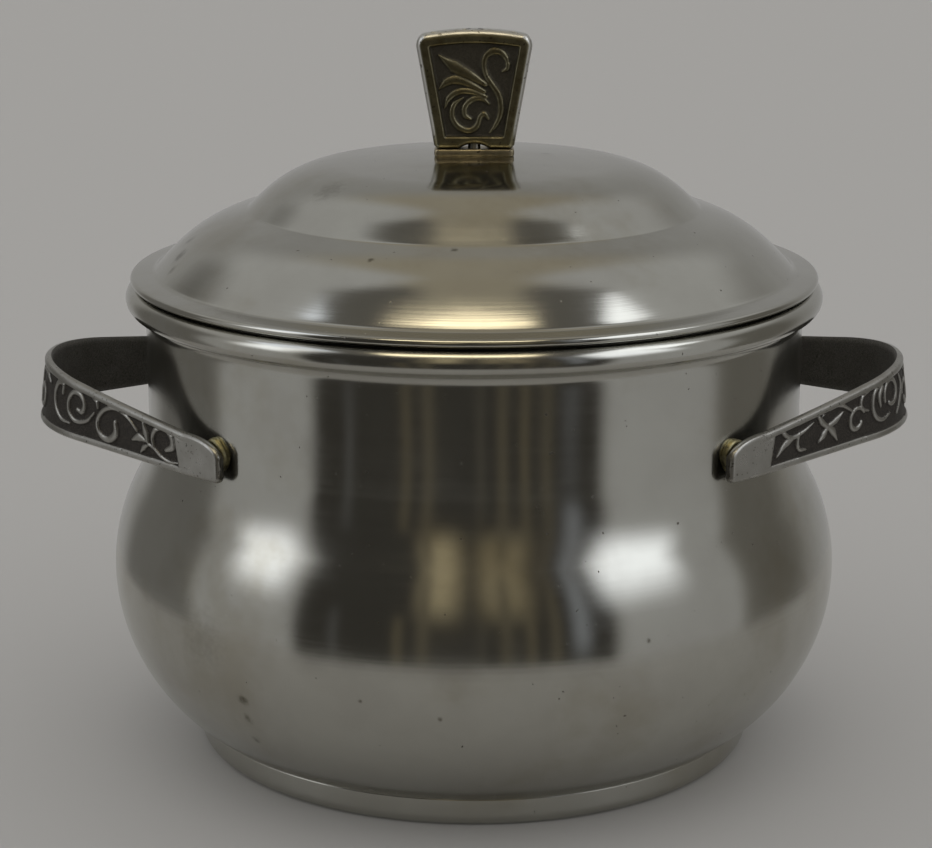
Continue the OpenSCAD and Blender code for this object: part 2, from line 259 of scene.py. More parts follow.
# Age: slow cloudy smudges from handling, and small dark pits and specks.
age, age_in, age_out = new_group(
    "age", {"Smudge size": 70.0, "Speck size": 800.0, "Speck edge": 0.70}, ["Smudge", "Speck", "Tarnish"])
place = node(age, "ShaderNodeTexCoord").outputs["Object"]
smudge = noise(age, place, age_in.outputs[0], 4.0, 0.6)
speck = noise(age, place, age_in.outputs[1], 1.0, 0.4)
speck_end = calc(age, "ADD", age_in.outputs[2], 0.05)
stain = noise(age, place, 38.0, 5.0, 0.65)
age.links.new(step_up(age, smudge, 0.32, 0.68), age_out.inputs["Smudge"])
age.links.new(step_up(age, speck, age_in.outputs[2], speck_end), age_out.inputs["Speck"])
age.links.new(step_up(age, stain, 0.50, 0.72), age_out.inputs["Tarnish"])

SILVER = (0.480, 0.474, 0.428, 1)
DULL_SILVER = (0.400, 0.388, 0.350, 1)
TARNISH = (0.320, 0.290, 0.215, 1)
PIT = (0.075, 0.065, 0.050, 1)
STAIN = (0.100, 0.088, 0.060, 1)


def stained(tree, colour, marks):
    """Dark marks, each with its place and radius in mm and its depth of colour. A mark fades out over its
    radius, and noise added to the distance from its middle makes its edge ragged."""
    place = node(tree, "ShaderNodeTexCoord").outputs["Object"]
    ragged = noise(tree, place, 1100.0, 4.0, 0.7)
    for x, y, z, radius, depth in marks:
        middle = (x * MM, y * MM, z * MM)
        gap = node(tree, "ShaderNodeVectorMath", {0: place, 1: middle}, operation="DISTANCE").outputs["Value"]
        torn = calc(tree, "MULTIPLY_ADD", ragged, radius * MM * 1.6, gap)
        cover = step_up(tree, torn, radius * MM * 0.7, radius * MM * 1.7, depth, 0.0)
        colour = blend(tree, cover, colour, STAIN)
    return colour


def satin(name, roughness, lines=3600.0, stretch=0.8, marks=()):
    """Satin metal finished on the spindle: grain round the axis, smudges, a breath of tarnish, and pits.
    The grain stretches mirrored light across its lines."""
    material = bpy.data.materials.new(name)
    material.use_nodes = True
    tree = material.node_tree
    shader = tree.nodes["Principled BSDF"]
    grain = use_group(tree, spun_grain, Lines_per_metre=lines)
    worn = use_group(tree, age, Speck_size=1300.0, Speck_edge=0.775)
    colour = blend(tree, calc(tree, "MULTIPLY", worn["Smudge"], 0.45), SILVER, DULL_SILVER)
    colour = blend(tree, calc(tree, "MULTIPLY", worn["Tarnish"], 0.42), colour, TARNISH)
    colour = blend(tree, calc(tree, "MULTIPLY", worn["Speck"], 0.8), colour, PIT)
    colour = stained(tree, colour, marks)
    tree.links.new(colour, shader.inputs["Base Color"])
    rough = calc(tree, "MULTIPLY_ADD", grain["Grain"], 0.10, roughness - 0.05)
    rough = calc(tree, "MULTIPLY_ADD", worn["Smudge"], 0.05, rough)
    rough = calc(tree, "MULTIPLY_ADD", worn["Speck"], 0.25, rough)
    tree.links.new(rough, shader.inputs["Roughness"])
    height = calc(tree, "MULTIPLY_ADD", worn["Speck"], -1.0, grain["Grain"])
    bump = node(tree, "ShaderNodeBump", {"Strength": 0.10, "Distance": 0.00004, "Height": height})
    tree.links.new(bump.outputs[0], shader.inputs["Normal"])
    shader.inputs["Metallic"].default_value = 1.0
    shader.inputs["Anisotropic"].default_value = stretch
    shader.inputs["Anisotropic Rotation"].default_value = 0.25
    return material


# Dark marks on the bowl: x, y, z, radius and depth of colour.
bowl_marks = [(-33.6, -45.0, 20.2, 1.6, 0.8), (-32.9, -43.8, 17.0, 1.3, 0.7), (-31.9, -41.6, 13.0, 1.2, 0.7),
              (-40.0, -41.1, 28.1, 7.0, 0.25), (24.6, -51.7, 31.7, 0.6, 0.8), (-4.9, -56.3, 21.6, 0.6, 0.8),
              (-16.2, -54.6, 23.7, 0.5, 0.8), (-24.6, -51.0, 37.4, 0.6, 0.7)]
bowl.data.materials.append(satin("satin bowl", 0.135, marks=bowl_marks))

# ---- The foot ring ------------------------------------------------------------------------------
# A ring of 1.1 mm sheet turned in at the bottom and brazed under the belly. The bowl stands on its flange.

FOOT_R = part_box("foot_ring")[1].x / MM
FOOT_TURN_R = 1.8
FOOT_FLANGE = 2.6
FOOT_WALL = 1.1


def belly_under(radius):
    """Height of the bowl's outside near the foot: the floor's turn is a circle standing on the floor."""
    return FLOOR_Z + FLOOR_TURN_R - np.sqrt(FLOOR_TURN_R ** 2 - (radius - floor_r) ** 2)


wall_top = belly_under(FOOT_R) + 0.3
foot_moves = [(FOOT_FLANGE,), (FOOT_TURN_R, 90.0)]
foot_start = (FOOT_R - FOOT_TURN_R - FOOT_FLANGE, 0.0)
foot_outside = walk(foot_start, 0.0, foot_moves + [(wall_top - FOOT_TURN_R,)], 0.5)
foot_inner_start, foot_inner_moves = beside(foot_start, 0.0, foot_moves, FOOT_WALL)
inner_top = belly_under(FOOT_R - FOOT_WALL) + 0.3
foot_inside = walk(foot_inner_start, 0.0, foot_inner_moves + [(inner_top - FOOT_TURN_R,)], 0.5)
foot = spun("foot", np.vstack([foot_outside, foot_inside[::-1]]), SPUN_STEPS, closed=True)
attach(foot, "root")
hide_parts("foot_ring")
foot.data.materials.append(satin("satin foot", 0.20))

# ---- The handles --------------------------------------------------------------------------------
# Two stamped strips bent into loops that lie level. Each has a polished border round a sunk panel of
# scrolls and leaves on a blackened ground, and a plain round tongue at both ends.

BEND_X = 46.4
BEND_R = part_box("right_handle")[1].x / MM - BEND_X
BEND_HALF = np.radians(48.0)
STRIP_T = 1.4
STRIP_END = 3.2
STRIP_MID = 5.2
STRIP_END_Z = 54.0
STRIP_MID_Z = 57.1
EDGE_ROUND = 0.6
BORDER = 1.15
PANEL_DEPTH = 0.4
PANEL_FROM = 9.0
TIP_PAST = 1.7
TIP_TURN = 7.5
TIP_DROP = 2.8
TIP_CORNER = 0.9
LEAN = 1.2
BACK_ROUND = 0.35
CROWN_DROP = 0.10
BEAD_DROP = 0.2
SCROLL_RISE = 0.95
BACK_RELIEF_LEVEL = 0.47
TIP_WEAR = 0.7

leg_dist = BEND_X * np.cos(BEND_HALF) + BEND_R
leg_len = BEND_X * np.sin(BEND_HALF) - TIP_PAST
strip_len = 2 * leg_len + 2 * BEND_HALF * BEND_R
tip_x = leg_dist * np.cos(BEND_HALF) + TIP_PAST * np.sin(BEND_HALF)
tip_y = leg_dist * np.sin(BEND_HALF) - TIP_PAST * np.cos(BEND_HALF)


def smooth_line(points, spacing=0.08):
    """A smooth line through a few points: between two of them it is the cubic whose slopes at both ends
    are half the step between the neighbours."""
    points = np.array(points, float)
    whole = np.vstack([2 * points[0] - points[1], points, 2 * points[-1] - points[-2]])
    a, b, c, d = whole[:-3], whole[1:-2], whole[2:-1], whole[3:]
    count = int(np.abs(np.diff(points, axis=0)).max() / spacing) + 2
    t = np.linspace(0, 1, count, endpoint=False)[:, None, None]
    line = 0.5 * (2 * b + (c - a) * t + (2 * a - 5 * b + 4 * c - d) * t ** 2
                  + (3 * b - a - 3 * c + d) * t ** 3)
    return np.vstack([line.transpose(1, 0, 2).reshape(-1, 2), points[-1:]])


def curl(x, y, r_from, r_to, turn_from, turn_to):
    """A spiral round (x, y): the radius goes evenly from one value to the other while the angle turns."""
    share = np.linspace(0, 1, 70)[:, None]
    angle = np.radians(turn_from + (turn_to - turn_from) * share)
    return np.array([x, y]) + (r_from + (r_to - r_from) * share) * np.hstack([np.cos(angle), np.sin(angle)])


def raised(x, y, strokes):
    """Height from 0 to 1 of carved strokes at the points (x, y). Across a stroke it is a half round: the
    root of 1 minus the square of the distance from its line over its half width there."""
    height = np.zeros(x.shape)
    for line, widths in strokes:
        half = np.interp(np.linspace(0, 1, len(line)), np.linspace(0, 1, len(widths)), widths) / 2
        reach = half.max() + 0.02
        near = ((x > line[:, 0].min() - reach) & (x < line[:, 0].max() + reach)
                & (y > line[:, 1].min() - reach) & (y < line[:, 1].max() + reach))
        away = np.hypot(x[near][:, None] - line[:, 0], y[near][:, None] - line[:, 1]) / half
        ridge = np.sqrt(np.clip(1 - away.min(1) ** 2, 0, 1))
        height[near] = np.maximum(height[near], ridge)
    return height


def eased(value, low, high):
    """A smooth step from 0 at low to 1 at high."""
    t = np.clip((value - low) / (high - low), 0, 1)
    return t * t * (3 - 2 * t)


def strip_plan(s, depth):
    """The loop in plan: straight legs that run into one bend. A point is the line's place at length s,
    moved inwards by the depth, which on the bend means a smaller radius."""
    leg_way = np.pi / 2 - BEND_HALF
    mirror = np.where(s > strip_len / 2, -1.0, 1.0)
    s = np.where(s > strip_len / 2, strip_len - s, s)
    leg_x = tip_x + s * np.cos(leg_way) - depth * np.sin(leg_way)
    leg_y = -tip_y + s * np.sin(leg_way) + depth * np.cos(leg_way)
    turn = (s - leg_len) / BEND_R - BEND_HALF
    bend_x = BEND_X + (BEND_R - depth) * np.cos(turn)
    bend_y = (BEND_R - depth) * np.sin(turn)
    on_leg = s < leg_len
    return np.where(on_leg, leg_x, bend_x), np.where(on_leg, leg_y, bend_y) * mirror


def strip_sides(s):
    """Heights of the strip's middle line, upper edge and lower edge at length s. Width and middle height
    grow evenly towards the middle of the loop. At a tip the upper edge falls on a quarter of an ellipse
    and the lower edge rises on a small quarter circle."""
    x = strip_plan(s, 0.0)[0]
    end_x = tip_x + TIP_TURN * np.sin(BEND_HALF)
    share = np.clip((x - end_x) / (BEND_X + BEND_R + 1 - end_x), 0, 1)
    half = STRIP_END + (STRIP_MID - STRIP_END) * share
    to_end = np.minimum(s, strip_len - s)
    fall = 1 - np.sqrt(1 - np.clip(1 - to_end / TIP_TURN, 0, 1) ** 2)
    lift = 1 - np.sqrt(1 - np.clip(1 - to_end / TIP_CORNER, 0, 1) ** 2)
    middle = STRIP_END_Z + (STRIP_MID_Z - STRIP_END_Z) * share
    return middle, half - TIP_DROP * fall, TIP_CORNER * lift - half


# The strip's strokes: a line of (length along the strip, height above its middle), and the widths along it.
scrolls = [
    (smooth_line([(11.3, 3.3), (11.4, 2.1), (13.1, 0.9), (15.5, 1.1), (18.1, 2.0)]),
     [0.69, 0.94, 0.88, 0.69, 0.25]),
    (smooth_line([(13.4, 0.6), (11.7, 0.2), (9.8, -1.2)]), [0.38, 1.4, 1.1, 0.25]),
    (smooth_line([(14.8, 1.1), (14.5, -0.3), (15.1, -1.4), (16.4, -1.7)]), [0.62, 0.88, 0.75, 0.38]),
    (smooth_line([(21.4, 0.5), (20.1, 1.5), (18.8, 3.2)]), [0.75, 1.2, 0.25]),
    (smooth_line([(21.4, 0.5), (23.3, 0.9), (25.1, 1.9)]), [0.75, 1.2, 0.25]),
    (smooth_line([(21.4, 0.5), (20.5, -0.6), (19.3, -1.4)]), [0.75, 1.4, 0.25]),
    (smooth_line([(21.4, 0.5), (22.7, -0.6), (23.7, -2.2)]), [0.75, 1.4, 0.25]),
    (smooth_line([(20.0, 2.3), (21.9, 3.2), (24.7, 2.9), (27.1, 1.5)]), [0.19, 0.75, 0.75, 0.5]),
    (curl(28.4, -0.3, 1.9, 1.2, 25, 330), [0.5, 0.88, 1, 0.88]),
    (smooth_line([(31.4, 3.6), (30.0, 3.0), (29.4, 1.9), (30.1, 0.9), (31.3, 0.4)]),
     [1.1, 0.75, 0.75, 0.62, 0.38]),
    (smooth_line([(34.3, 3.6), (32.8, 2.6), (32.4, 0.6), (33.3, -1.2), (35.1, -1.9), (37.1, -1.4)]),
     [0.88, 0.88, 0.88, 0.88, 0.75, 0.38]),
    (smooth_line([(35.0, 3.1), (34.2, 1.8), (34.4, 0.2)]), [1.1, 1.1, 0.38]),
    (curl(38.0, 1.5, 2.4, 1.6, 200, -130), [0.62, 0.88, 1, 0.75]),
    (smooth_line([(41.7, 3.5), (42.7, 1.6), (41.5, -0.4), (39.7, -2.2)]), [0.38, 1, 1, 0.38]),
    (curl(45.5, -0.3, 2.4, 1.1, 170, -150), [0.5, 0.88, 1, 1.1]),
    (smooth_line([(45.3, 3.4), (47.7, 3.6), (49.3, 2.4)]), [0.25, 1, 0.38]),
    (curl(51.6, 0.9, 2.5, 1.2, 210, -160), [0.5, 0.88, 1, 1.1]),
    (smooth_line([(50.3, -3.3), (52.7, -3.0), (55.1, -2.2)]), [0.25, 1, 0.38]),
    (curl(57.8, -0.2, 2.4, 1.1, 165, 490), [0.5, 0.88, 1, 1.1]),
    (smooth_line([(58.1, 3.6), (60.3, 3.5), (62.4, 2.4)]), [0.38, 1, 0.38]),
    (smooth_line([(69.4, -2.2), (66.9, -2.1), (65.1, -0.7), (64.6, 1.4), (65.6, 3.2), (67.3, 3.4),
                  (67.3, 1.9)]),
     [0.38, 0.75, 0.88, 0.88, 1, 1.1, 0.62]),
    (smooth_line([(75.4, 0.9), (73.5, -0.8), (70.9, -1.5), (69.2, -0.5), (69.0, 1.3), (70.2, 2.8),
                  (72.0, 2.8), (73.0, 1.6), (72.4, 0.3), (71.3, 0.4)]),
     [0.44, 0.75, 0.88, 0.88, 0.88, 1, 1, 0.75]),
    (smooth_line([(74.6, 3.3), (76.0, 2.9), (76.3, 1.9)]), [0.38, 1, 0.38]),
    (smooth_line([(85.5, 0.8), (83.5, 2.2), (80.9, 2.9), (78.3, 2.3), (76.5, 0.7), (76.1, -0.9), (77.1, -2.2),
                  (78.9, -2.3), (80.4, -1.0), (80.4, 0.7)]),
     [0.44, 0.62, 0.75, 0.81, 0.88, 0.94, 1.1, 1.2, 1.4, 1]),
    (smooth_line([(88.0, -0.5), (87.4, 1.0), (86.7, 3.0)]), [0.5, 1.5, 0.25]),
    (smooth_line([(87.7, -0.3), (85.9, -0.1), (84.4, -0.8)]), [0.38, 1.5, 0.5]),
    (smooth_line([(87.9, -0.8), (86.9, -1.4), (86.2, -2.3)]), [0.38, 1, 0.25]),
    (smooth_line([(88.0, -0.6), (89.3, -0.9), (90.7, -1.7), (92.5, -2.1), (94.5, -1.8)]),
     [0.62, 0.75, 0.69, 0.62, 0.31]),
    (smooth_line([(89.3, -0.9), (88.9, 0.7), (89.7, 2.1), (91.5, 2.7), (93.1, 1.9), (93.3, 0.4),
                  (91.9, -0.5)]),
     [0.62, 0.81, 0.88, 1, 1.2, 1.4, 0.75]),
]

round_angle = np.linspace(0, np.pi / 2, 26)
tip_rows = TIP_TURN * (1 - np.cos(round_angle))
long_rows = np.linspace(TIP_TURN, strip_len - TIP_TURN, 540)[1:-1]
rows = np.concatenate([tip_rows, long_rows, strip_len - tip_rows[::-1]])
# Across the strip the points stand closer together towards the edges.
spread = np.linspace(-1, 1, 61)
spread = 0.62 * spread + 0.38 * np.sin(spread * np.pi / 2)
back_spread = np.linspace(1, -1, 11)


def edge_drop(inwards, rounding):
    """How far a face falls towards its edge: a quarter round of the given radius."""
    left = np.clip(1 - inwards / rounding, 0, 1)
    return rounding * (1 - np.sqrt(1 - left ** 2))


edge_s = np.concatenate([[0.0], 0.02 * 1.13 ** np.arange(60)])
edge_s = np.concatenate([edge_s[edge_s < 12], [12.0]])
edge_up, edge_down = strip_sides(edge_s)[1:]
end_line = np.linspace(edge_down[0], edge_up[0], 30)
outline_s = np.concatenate([edge_s, edge_s, 0 * end_line])
outline_v = np.concatenate([edge_up, edge_down, end_line])


def strip_inwards(s, v, up, down):
    """Distance from the strip's edge: to its two sides, and near a tip to the nearest outline point."""
    inwards = np.minimum(up - v, v - down)
    to_end = np.minimum(s, strip_len - s) + 0 * v
    near = to_end < 8
    gaps = np.hypot(to_end[near][:, None] - outline_s, v[near][:, None] - outline_v)
    inwards[near] = np.minimum(inwards[near], gaps.min(1))
    return np.clip(inwards, 0, None)


middle, upper, lower = (edge[:, None] for edge in strip_sides(rows))
s_front = rows[:, None] + 0 * spread
v_front = (upper + lower) / 2 + (upper - lower) / 2 * spread
from_edge = strip_inwards(s_front, v_front, upper, lower)
past_panel = np.minimum(s_front, strip_len - s_front) - PANEL_FROM - 0.2 * v_front
to_panel = np.minimum(past_panel, np.minimum(upper - v_front, v_front - lower) - BORDER)
in_panel = eased(to_panel, -0.16, 0.16)
carving = raised(s_front, v_front - 0.1, scrolls)
relief = np.where(in_panel > 0.5, np.maximum(carving * SCROLL_RISE, 1 - in_panel), 1 - in_panel)
to_side = np.minimum(upper - v_front, v_front - lower)
bead_share = eased(np.minimum(s_front, strip_len - s_front), 6, 11)
bead = np.sqrt(np.clip(1 - ((to_side - BORDER / 2) / (BORDER / 2)) ** 2, 0, 1))
crown = CROWN_DROP * (v_front / upper.max()) ** 2
crown = crown + BEAD_DROP * bead_share * np.where(to_side < BORDER, 1 - bead, 0)
front_depth = edge_drop(from_edge, EDGE_ROUND) + crown + PANEL_DEPTH * (1 - relief)
s_back = rows[:, None] + 0 * back_spread
v_back = (upper + lower) / 2 + (upper - lower) / 2 * back_spread
back_depth = STRIP_T - edge_drop(strip_inwards(s_back, v_back, upper, lower), BACK_ROUND)
s_all = np.hstack([s_front, s_back])
v_all = np.hstack([v_front, v_back])
depth_all = np.hstack([front_depth, back_depth])
# The strip's back gets one fixed relief level, so the blackened material makes it mostly dark.
relief_all = np.hstack([relief, np.full(s_back.shape, BACK_RELIEF_LEVEL)])


def closed_ends(values, at_ends):
    """Adds a row at each end in which every point has the same value, so that the ends close up flat."""
    first = np.full((1, values.shape[1]), at_ends[0])
    last = np.full((1, values.shape[1]), at_ends[1])
    return np.vstack([first, values, last])


tip_middle = (upper[0, 0] + lower[0, 0]) / 2
s_all = closed_ends(s_all, (0.0, strip_len))
v_all = closed_ends(v_all, (tip_middle, tip_middle))
depth_all = closed_ends(depth_all, (STRIP_T / 2, STRIP_T / 2))
relief_all = closed_ends(relief_all, (TIP_WEAR, TIP_WEAR))
middle = np.vstack([middle[:1], middle, middle[-1:]])
lean_share = np.sin(np.pi * s_all / strip_len) ** 2 * eased(s_all, 12, 40) * eased(strip_len - s_all, 12, 40)
depth_all = depth_all + LEAN * lean_share * (v_all + STRIP_MID) / (2 * STRIP_MID)
plan_x, plan_y = strip_plan(s_all, depth_all)
strip_grid = np.stack([plan_x, plan_y, middle + v_all], -1)


def blackened(name):
    """Polished relief on a blackened ground: black where the height is low, rubbed bright on top."""
    material = bpy.data.materials.new(name)
    material.use_nodes = True
    tree = material.node_tree
    shader = tree.nodes["Principled BSDF"]
    worn = use_group(tree, age, Smudge_size=260.0, Speck_size=2200.0, Speck_edge=0.68)
    place = node(tree, "ShaderNodeTexCoord").outputs["Object"]
    height = node(tree, "ShaderNodeAttribute", attribute_name="relief").outputs["Fac"]
    stipple = noise(tree, place, 5200.0, 2.0, 0.6)
    rubbed = calc(tree, "MULTIPLY_ADD", stipple, 0.22, calc(tree, "SUBTRACT", height, 0.11))
    bright = step_up(tree, rubbed, 0.30, 0.85)
    dark = blend(tree, step_up(tree, stipple, 0.4, 0.7), (0.019, 0.016, 0.013, 1), (0.062, 0.053, 0.042, 1))
    clouded = calc(tree, "MULTIPLY", worn["Smudge"], 0.5)
    metal = blend(tree, clouded, (0.38, 0.37, 0.34, 1), (0.27, 0.26, 0.23, 1))
    metal = blend(tree, calc(tree, "MULTIPLY", worn["Speck"], 0.7), metal, (0.06, 0.055, 0.045, 1))
    tree.links.new(blend(tree, bright, dark, metal), shader.inputs["Base Color"])
    rough = step_up(tree, bright, 0.0, 1.0, 0.62, 0.27)
    rough = calc(tree, "MULTIPLY_ADD", worn["Smudge"], 0.08, rough)
    tree.links.new(rough, shader.inputs["Roughness"])
    tree.links.new(step_up(tree, bright, 0.0, 0.6, 0.35, 1.0), shader.inputs["Metallic"])
    bump = node(tree, "ShaderNodeBump", {"Strength": 0.25, "Distance": 0.00006, "Height": stipple})
    tree.links.new(bump.outputs[0], shader.inputs["Normal"])
    return material


blackened_strip = blackened("blackened strip")
for name, side, cad_node in (("handle_right", 1, "right_handle"), ("handle_left", -1, "left_handle")):
    turned = strip_grid if side == 1 else strip_grid * [-1, -1, 1]
    strip, kept = surface(name, turned)
    strip.data.attributes.new("relief", "FLOAT", "POINT").data.foreach_set(
        "value", relief_all.reshape(-1)[kept].astype(np.float32))
    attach(strip, "root")
    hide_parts(cad_node)
    strip.data.materials.append(blackened_strip)

# ---- The brazed joints --------------------------------------------------------------------------
# A drop of brass-coloured brazing metal between each handle end and the neck. It has run out a little
# past the strip's end and sets in an uneven, rounded edge.

PAD_R = 2.6
PAD_IN = TIP_PAST + 2.7
PAD_UP = 0.4
PAD_TRIM = 0.2
PAD_SEAT = 1.08
PAD_FOLLOWS = 0.9


def braze_pad(name, side, end, cad_node, phase):
    """A drop round a line square to the neck: rings of radius R(t) run from the strip's back to inside
    the sheet. R(t) swells by slow waves in t, and the drop's edge is rounded between the two faces.
    The further a ring lies from the strip, the more it bends to the neck's curve."""
    t = np.linspace(0, 2 * np.pi, 72, endpoint=False)[None, :]
    rim = PAD_R * (1 + 0.035 * np.sin(3 * t + phase) + 0.025 * np.sin(5 * t - 2 * phase)) - PAD_TRIM
    strip_back = leg_dist - STRIP_T
    share = np.array([0.0, 0.45, 0.76, 0.86, 0.93, 0.98, 1.0, 1.03, 1.05, 1.02, 0.5, 0.0])[:, None]
    level = np.array([0.0, 0.0, 0.0, -0.03, -0.10, -0.25, -0.42, -0.62, -0.85, -1.35, -1.55, -1.55])[:, None]
    ring = rim * share
    along = ring * np.cos(t) - end * PAD_IN
    up = ring * np.sin(t)
    sink = np.sqrt(NECK_R ** 2 - along ** 2) - (strip_back - PAD_SEAT)
    out = strip_back + level + sink * np.clip(-level / PAD_FOLLOWS, 0, 1)
    turn = end * BEND_HALF
    x = out * np.cos(turn) - along * np.sin(turn)
    y = out * np.sin(turn) + along * np.cos(turn)
    pad = surface(name, np.stack([side * x, y, STRIP_END_Z + PAD_UP + up], -1))[0]
    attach(pad, "root")
    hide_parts(cad_node)
    return pad


def plain_metal(name, base, stained, roughness, smudge_size=300.0):
    """Bare metal with stains and a few specks, and a soft unevenness from being poured or filed."""
    material = bpy.data.materials.new(name)
    material.use_nodes = True
    tree = material.node_tree
    shader = tree.nodes["Principled BSDF"]
    worn = use_group(tree, age, Smudge_size=smudge_size, Speck_size=1700.0, Speck_edge=0.66)
    colour = blend(tree, worn["Smudge"], base, stained)
    colour = blend(tree, calc(tree, "MULTIPLY", worn["Speck"], 0.8), colour, PIT)
    tree.links.new(colour, shader.inputs["Base Color"])
    rough = calc(tree, "MULTIPLY_ADD", worn["Smudge"], 0.15, roughness)
    tree.links.new(rough, shader.inputs["Roughness"])
    place = node(tree, "ShaderNodeTexCoord").outputs["Object"]
    lumps = noise(tree, place, 1500.0, 3.0, 0.55)
    bump = node(tree, "ShaderNodeBump", {"Strength": 0.4, "Distance": 0.0001, "Height": lumps})
    tree.links.new(bump.outputs[0], shader.inputs["Normal"])
    shader.inputs["Metallic"].default_value = 1.0
    return material


braze_metal = plain_metal("brazing metal", (0.40, 0.36, 0.20, 1), (0.09, 0.08, 0.05, 1), 0.36, 420.0)
for name, side, end, cad_node, phase in (
        ("braze_drop_right_front", 1, -1, "braze_right_front", 0.4),
        ("braze_drop_right_back", 1, 1, "braze_right_back", 2.1),
        ("braze_drop_left_front", -1, -1, "braze_left_front", 3.3),
        ("braze_drop_left_back", -1, 1, "braze_left_back", 5.0)):
    braze_pad(name, side, end, cad_node, phase).data.materials.append(braze_metal)

# ---- The lid ------------------------------------------------------------------------------------
# A two-tier dome pressed from 0.9 mm sheet. Its edge is hemmed into a small bead that rests on the
# bowl's rolled rim, and its middle is pierced for the knob's screw.

LID_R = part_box("lid_shell")[1].x / MM
LID_WALL = 0.9
HEM_R = 0.6
HEM_GAP = 0.3
FLANGE_SLOPE = 7.0
CROWN_SLOPE = 5.0
HOLE_R = 1.15

hem_x = LID_R - HEM_R
hem_z = RIM_Z + HEM_GAP + HEM_R
lid_way = 180 - FLANGE_SLOPE
flange_tilt = np.radians(FLANGE_SLOPE)
lid_start = (hem_x + HEM_R * np.sin(flange_tilt), hem_z + HEM_R * np.cos(flange_tilt))
lid_moves = [(2.6,), (1.5, 135.0), (95.0, 138.0), (22.0, 162.0), (2.6,), (1.5, 138.0), (3.0,),
             (19.0, 180 - CROWN_SLOPE)]
crown_edge = walk(lid_start, lid_way, lid_moves, 1.0)[-1]
crown_r = crown_edge[0] / np.sin(np.radians(CROWN_SLOPE))
lid_top = crown_edge[1] + crown_r * (1 - np.cos(np.radians(CROWN_SLOPE)))
hole_way = 180 - np.degrees(np.arcsin(HOLE_R / crown_r))
lid_outside = walk(lid_start, lid_way, lid_moves + [(crown_r, hole_way)], 0.8)
under_start, under_moves = beside(lid_start, lid_way, lid_moves + [(crown_r, hole_way)], LID_WALL)
lid_inside = walk(under_start, lid_way, under_moves, 1.0)
off_hem = np.hypot(lid_inside[:, 0] - hem_x, lid_inside[:, 1] - hem_z) > HEM_R
hem_angle = np.radians(np.linspace(lid_way + 7 - 360, 90 - FLANGE_SLOPE, 34))[:-1, None]
hem = np.array([hem_x, hem_z]) + HEM_R * np.hstack([np.cos(hem_angle), np.sin(hem_angle)])
lid_section = np.vstack([hem, lid_outside, lid_inside[off_hem][::-1]])
lid = spun("lid", lid_section, SPUN_STEPS, unevenness=0.04, closed=True)
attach(lid, "lid")
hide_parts("lid_shell")
# Dark marks on the lid: x, y, z, radius and depth of colour.
lid_marks = [(-44.8, -11.6, 79.4, 2.2, 0.8), (-43.7, -7.5, 81.0, 1.8, 0.7), (-45.7, -14.8, 77.8, 1.4, 0.6),
             (-21.7, -18.1, 90.4, 4.0, 0.3), (-14.8, -37.1, 83.5, 0.8, 0.8), (-2.9, -36.2, 84.8, 0.8, 0.8),
             (11.3, 3.0, 92.9, 1.4, 0.6)]
lid.data.materials.append(satin("satin lid", 0.10, stretch=0.3, marks=lid_marks))

# ---- The lid's collar ---------------------------------------------------------------------------
# A plain ring brazed inside the lid. It drops into the mouth and keeps the lid in place.

collar_low, collar_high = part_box("lid_collar")
COLLAR_R = collar_high.x / MM
COLLAR_WALL = 0.9
collar_foot = collar_low.z / MM
collar_head = collar_high.z / MM + 0.2
collar_turn = np.linspace(0, -np.pi, 9)[:, None]
collar_edge = (np.array([COLLAR_R - COLLAR_WALL / 2, collar_foot + COLLAR_WALL / 2])
               + COLLAR_WALL / 2 * np.hstack([np.cos(collar_turn), np.sin(collar_turn)]))
collar_rise = np.linspace(collar_foot + COLLAR_WALL / 2, collar_head, 12)[1:, None]
collar_out = np.hstack([COLLAR_R + 0 * collar_rise, collar_rise])
collar_in = np.hstack([COLLAR_R - COLLAR_WALL + 0 * collar_rise, collar_rise])
collar = spun("collar", np.vstack([collar_out[::-1], collar_edge, collar_in]), 192, closed=True)
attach(collar, "lid")
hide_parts("lid_collar")
collar.data.materials.append(satin("satin collar", 0.27))

# ---- The knob -----------------------------------------------------------------------------------
# A flat tapered knob cast in one piece, wider at its top, with a raised frame round a sunk panel on both
# faces. In each panel a swan with scrolled feathers stands out from a stippled ground, under olive patina.

knob_low, knob_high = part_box("knob")
KNOB_Z = knob_low.z / MM
KNOB_H = knob_high.z / MM - KNOB_Z
KNOB_FOOT = 6.2
KNOB_TOP = 8.9
KNOB_T = 4.4
KNOB_CORNER = 1.8
KNOB_CUT = 0.6
KNOB_CROWN = 0.6
KNOB_FRAME = 2.0
KNOB_PANEL = 0.7
KNOB_EDGE = 1.1
ARCH_W = 4.8
ARCH_H = 0.8
ARCH_FADE = 2.4
BIRD_RISE = 0.85
EDGE_WEAR = 0.8

lean = np.arctan((KNOB_TOP - KNOB_FOOT) / KNOB_H)
corner_x = KNOB_TOP - KNOB_CORNER
corner_z = KNOB_H - KNOB_CROWN - KNOB_CORNER
corner_angle = np.radians(np.linspace(0, 80, 14)) - np.array(lean) * np.linspace(1, 0, 14)
crown_x = np.linspace(0.96, 0, 30)
side_x = np.concatenate([[KNOB_FOOT - KNOB_CUT, KNOB_FOOT], corner_x + KNOB_CORNER * np.cos(corner_angle),
                         crown_x * corner_x])
side_z = np.concatenate([[0.0, KNOB_CUT], corner_z + KNOB_CORNER * np.sin(corner_angle),
                         corner_z + KNOB_CORNER + KNOB_CROWN * (1 - crown_x ** 2)])
side_z[-1] = KNOB_H

